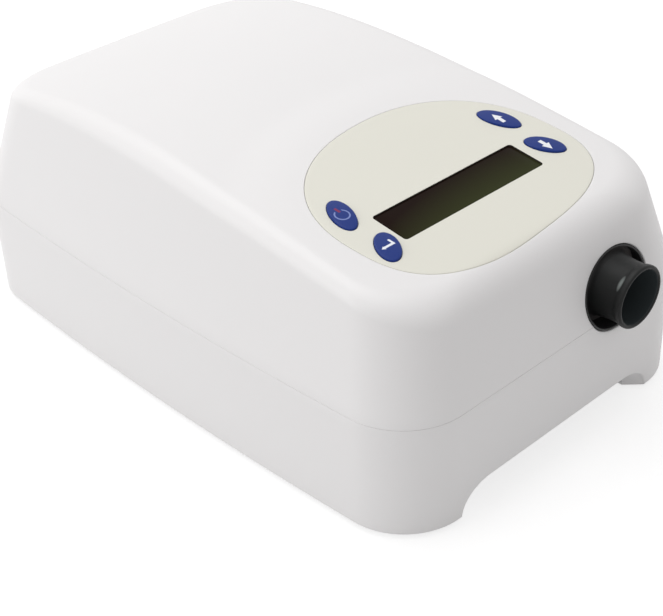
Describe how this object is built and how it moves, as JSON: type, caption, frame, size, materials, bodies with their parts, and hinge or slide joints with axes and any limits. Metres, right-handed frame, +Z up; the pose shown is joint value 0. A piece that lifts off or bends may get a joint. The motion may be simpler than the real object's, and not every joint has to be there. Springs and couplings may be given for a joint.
{
  "type": "CPAP machine",
  "caption": "Bedside breathing-air blower with sloped key panel and display, conical air outlet, filter cover, inlet socket and a spinning impeller inside.",
  "frame": {"origin": "centre of the machine's footprint, on the surface its feet stand on", "axes": "+Y from the front with the air outlet to the back with the filter, +Z up, +X to the right seen from the front"},
  "size_m": [0.1504, 0.2384, 0.0914],
  "materials": {
    "casing_plastic": "satin, fine texture",
    "overlay_film": "satin printed film",
    "window_plastic": "dark tinted, glossy",
    "display_glass": "smooth",
    "circuit_board": "solder resist",
    "electronic_parts": "moulded",
    "key_rubber": "smooth, slightly glossy",
    "outlet_plastic": "satin",
    "soft_rubber": "matte",
    "duct_silicone": "matte, translucent grey",
    "blower_plastic": "satin",
    "impeller_plastic": "satin",
    "steel": "bright",
    "magnet": "ground",
    "lamination": "stacked sheet",
    "copper": "enamelled wire",
    "foam": "open-cell foam",
    "filter_fabric": "pressed fibre",
    "aluminium_fins": "extruded",
    "sensor_plastic": "satin",
    "clear_silicone": "translucent",
    "contact_brass": "plated",
    "lead_insulation": "smooth",
    "black_insulation": "smooth",
    "ribbon_film": "smooth"
  },
  "bodies": {
    "housing": {"lower_casing": "casing_plastic", "upper_casing": "casing_plastic", "panel_overlay": "overlay_film", "display_lens": "window_plastic", "lcd_module": "display_glass", "display_board": "circuit_board", "tact_switches": "electronic_parts", "display_screws": "steel", "outlet_connector": "outlet_plastic", "outlet_grommet": "soft_rubber", "outlet_duct": "duct_silicone", "volute_base": "blower_plastic", "volute_lid": "blower_plastic", "volute_screws": "steel", "upper_bearing": "steel", "lower_bearing": "steel", "motor_can": "steel", "stator_core": "lamination", "stator_coils": "copper", "motor_screws": "steel", "blower_grommets": "soft_rubber", "blower_screws": "steel", "silencer_box": "blower_plastic", "silencer_lid": "blower_plastic", "silencer_foam": "foam", "filter_pad": "filter_fabric", "main_board": "circuit_board", "board_parts": "electronic_parts", "heat_sink": "aluminium_fins", "board_screws": "steel", "pressure_sensor": "sensor_plastic", "pressure_tube": "clear_silicone", "dc_socket": "outlet_plastic", "dc_socket_pin": "contact_brass", "display_ribbon": "ribbon_film", "motor_leads": "lead_insulation", "power_leads": "black_insulation", "rubber_feet": "soft_rubber", "case_screws": "steel"},
    "power_key": {"power_button": "key_rubber"},
    "enter_key": {"enter_button": "key_rubber"},
    "up_key": {"up_button": "key_rubber"},
    "down_key": {"down_button": "key_rubber"},
    "rotor": {"impeller": "impeller_plastic", "rotor_shaft": "steel", "rotor_magnet": "magnet"},
    "cover": {"filter_cover": "casing_plastic"}
  },
  "joints": [
    {"name": "power_press", "type": "slide", "parent": "housing", "child": "power_key", "axis": [0, 0.1392, -0.9903], "range_m": [0, 0.0006], "stiffness_N_per_m": 1500, "springref_m": -0.0003},
    {"name": "enter_press", "type": "slide", "parent": "housing", "child": "enter_key", "axis": [0, 0.1392, -0.9903], "range_m": [0, 0.0006], "stiffness_N_per_m": 1500, "springref_m": -0.0003},
    {"name": "up_press", "type": "slide", "parent": "housing", "child": "up_key", "axis": [0, 0.1392, -0.9903], "range_m": [0, 0.0006], "stiffness_N_per_m": 1500, "springref_m": -0.0003},
    {"name": "down_press", "type": "slide", "parent": "housing", "child": "down_key", "axis": [0, 0.1392, -0.9903], "range_m": [0, 0.0006], "stiffness_N_per_m": 1500, "springref_m": -0.0003},
    {"name": "rotor_spin", "type": "hinge", "parent": "housing", "child": "rotor", "pos_m": [-0.004, 0.02975, 0.0502], "axis": [0, 0, 1], "continuous": true},
    {"name": "cover_pull", "type": "slide", "parent": "housing", "child": "cover", "axis": [0, 1, 0], "range_m": [0, 0.012]}
  ]
}
